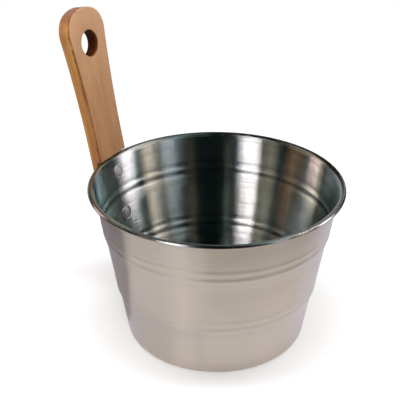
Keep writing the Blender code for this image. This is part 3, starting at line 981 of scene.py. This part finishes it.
PANELS = [
    ((5, 13), LOW, 1.4, ROSE),
    ((28, 36), LOW, 4.8, LILAC_WHITE),
    ((36, 43), LOW, 3.0, LILAC_WHITE),
    ((78, 93), LOW, 0.30, BLUE),
    ((104, 152), TALL, 0.70, MAUVE),
    ((152, 168), LOW, 0.52, GREY),
    ((179, 194), LOW, 3.05, ROSE),
    ((198, 217), LOW, 0.2, SAND),
    ((257, 264), LOW, 3.5, COOL_WHITE),
    ((264, 270), LOW, 5.2, LILAC_WHITE),
    ((270, 275), LOW, 2.8, COOL_WHITE),
    ((341, 356), LOW, 1.6, LILAC),
    ((13, 22), HIGH, 2.40, PINK_SAND),
    ((33, 38), HIGH, 0.8, TEAL),
    ((38, 45), HIGH, 4.4, WARM_WHITE),
    ((45, 50), HIGH, 5.4, WARM_WHITE),
    ((50, 56), HIGH, 1.75, WARM_WHITE),
    ((88, 98), HIGH, 1.2, SAND),
    ((168, 181), HIGH, 1.80, PINK_SAND),
    ((230, 240), HIGH, 0.8, SAND),
    ((250, 256), HIGH, 7.2, WARM_WHITE),
    ((256, 269), HIGH, 2.9, WARM_WHITE),
    ((341, 349), HIGH, 0.4, GREY),
    ((349, 357), HIGH, 1.25, GREY),
    ((0, 90), TOP, 0.45, PALE_TEAL),
]
# And below it a pale table with dark beyond: (from, to) in degrees, (inner, outer) radius, strength, colour
TABLE = [
    ((125, 160), (0.300, 1.100), 0.45, PAPER),
    ((165, 215), (0.098, 0.150), 0.46, PAPER),
    ((160, 215), (0.150, 0.300), 0.52, PAPER),
    ((215, 265), (0.098, 0.160), 0.83, PAPER),
    ((265, 290), (0.098, 0.160), 0.92, PAPER),
    ((215, 290), (0.160, 0.370), 1.08, PAPER),
    ((290, 375), (0.100, 0.165), 1.03, PAPER),
    ((290, 375), (0.165, 0.310), 0.98, WARM_PAPER),
    ((375, 485), (0.100, 0.310), 1.01, PAPER),
    ((395, 485), (0.310, 0.450), 1.00, PAPER),
    ((485, 510), (0.110, 0.300), 0.70, PAPER),
]
TABLE_HEIGHT = 0.0010
DARK_RADII = (0.20, 1.75)
DARK_HEIGHT = 0.0005
TENT_LIGHT = 0.006
FACET = 5  # degrees that one face of a panel or of the table spans


def glowing(name, colour, strength):
    material, nodes = new_material(name)
    glow = nodes.add("ShaderNodeEmission")
    nodes.link(colour, glow.inputs["Color"])
    glow.inputs["Strength"].default_value = strength
    nodes.end_in(glow)
    material.cycles.emission_sampling = "NONE"
    return material


def hide_from_all_but_glossy(obj):
    obj.visible_camera = False
    obj.visible_diffuse = False
    obj.visible_transmission = False
    obj.visible_volume_scatter = False
    obj.visible_shadow = False


def make_panel(name, radius, angles, heights, material):
    """A piece of a ball round the pail, for glossy rays only."""
    bm = bmesh.new()
    across = max(2, round((angles[1] - angles[0]) / FACET))
    up = max(2, round((heights[1] - heights[0]) / FACET))
    rows = []
    for j in range(up + 1):
        lift = math.radians(heights[0] + (heights[1] - heights[0]) * j / up)
        row = []
        for i in range(across + 1):
            turn = math.radians(angles[0] + (angles[1] - angles[0]) * i / across)
            level = radius * math.cos(lift)
            row.append(bm.verts.new((
                level * math.cos(turn), level * math.sin(turn), TENT_CENTRE + radius * math.sin(lift)
            )))
        rows.append(row)
    for low, high in zip(rows, rows[1:]):
        for i in range(across):
            bm.faces.new((low[i], low[i + 1], high[i + 1], high[i]))
    hide_from_all_but_glossy(add_object(name, finish_mesh(name, bm), material))


def make_sector(name, angles, radii, height, material):
    """A level piece of a ring just over the floor, for glossy rays only."""
    bm = bmesh.new()
    steps = max(2, round((angles[1] - angles[0]) / FACET))
    rows = []
    for i in range(steps + 1):
        turn = math.radians(angles[0] + (angles[1] - angles[0]) * i / steps)
        x, y = math.cos(turn), math.sin(turn)
        rows.append([bm.verts.new((radius * x, radius * y, height)) for radius in radii])
    for one, other in zip(rows, rows[1:]):
        bm.faces.new((one[0], one[1], other[1], other[0]))
    hide_from_all_but_glossy(add_object(name, finish_mesh(name, bm), material))


def make_studio():
    tent = glowing("tent", DARK, TENT_LIGHT)
    make_panel("studio_tent", TENT_RADIUS, ALL_ROUND, (TENT_LOW, TENT_TOP), tent)
    for i, (angles, heights, strength, colour) in enumerate(PANELS):
        lit = glowing(f"studio_panel_{i}", colour, strength)
        make_panel(f"studio_panel_{i}", PANEL_RADIUS, angles, heights, lit)
    make_sector("studio_dark", ALL_ROUND, DARK_RADII, DARK_HEIGHT, tent)
    for i, (angles, radii, strength, colour) in enumerate(TABLE):
        table = glowing(f"studio_table_{i}", colour, strength)
        make_sector(f"studio_table_{i}", angles, radii, TABLE_HEIGHT, table)


# Soft lamps: name, place, point that it faces, size and watts
LAMPS = [
    ("overhead", (0.072, -0.138, 1.5), (0.0, 0.0, 0.0), (1.3, 0.33), 18.0),
    ("fill", (0.72, -1.06, 0.75), (0.0, 0.0, 0.15), (0.6, 0.6), 6.0),
]


def make_lamp(name, at, towards, size, power):
    """A lamp that isn't mirrored itself, because the panels are."""
    data = bpy.data.lights.new(name, "AREA")
    data.shape = "RECTANGLE"
    data.size, data.size_y = size
    data.energy = power
    lamp = bpy.data.objects.new(name, data)
    bpy.context.scene.collection.objects.link(lamp)
    aim = (Vector(towards) - Vector(at)).to_track_quat("-Z", "Y")
    lamp.matrix_world = Matrix.Translation(at) @ aim.to_matrix().to_4x4()
    lamp.visible_camera = False
    lamp.visible_glossy = False


def dress(piece, node):
    """Puts a piece in the place of its node, a hair smaller."""
    keep_in = Matrix.Translation(KEEP_IN_CENTRE) @ Matrix.Scale(KEEP_IN, 4)
    keep_in = keep_in @ Matrix.Translation(-KEEP_IN_CENTRE)
    piece.data.transform(piece.matrix_world.inverted() @ keep_in @ piece.matrix_world)
    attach(piece, "root")
    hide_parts(node)


def build():
    outside = brushed_steel("steel_outside", **OUTSIDE_STEEL)
    inside = brushed_steel("steel_inside", **INSIDE_STEEL)
    turned = brushed_steel("steel_turned", **TURNED_STEEL)
    rivets = rivet_steel()
    wood = board_wood()
    dress(make_pail(outside, inside, turned), "pail")
    dress(make_handle(wood), "handle")
    for place, height in (("upper", UPPER_RIVET_HEIGHT), ("lower", LOWER_RIVET_HEIGHT)):
        along = along_board(height)
        dress(make_rivet(f"rivet_{place}_turned", along, rivets), f"rivet_{place}")
        dress(make_washer(f"washer_{place}_turned", along, rivets), f"washer_{place}")
    make_floor()
    make_world()
    make_studio()
    for lamp in LAMPS:
        make_lamp(*lamp)
    make_camera()
    bpy.context.scene.view_settings.view_transform = "Standard"


build()
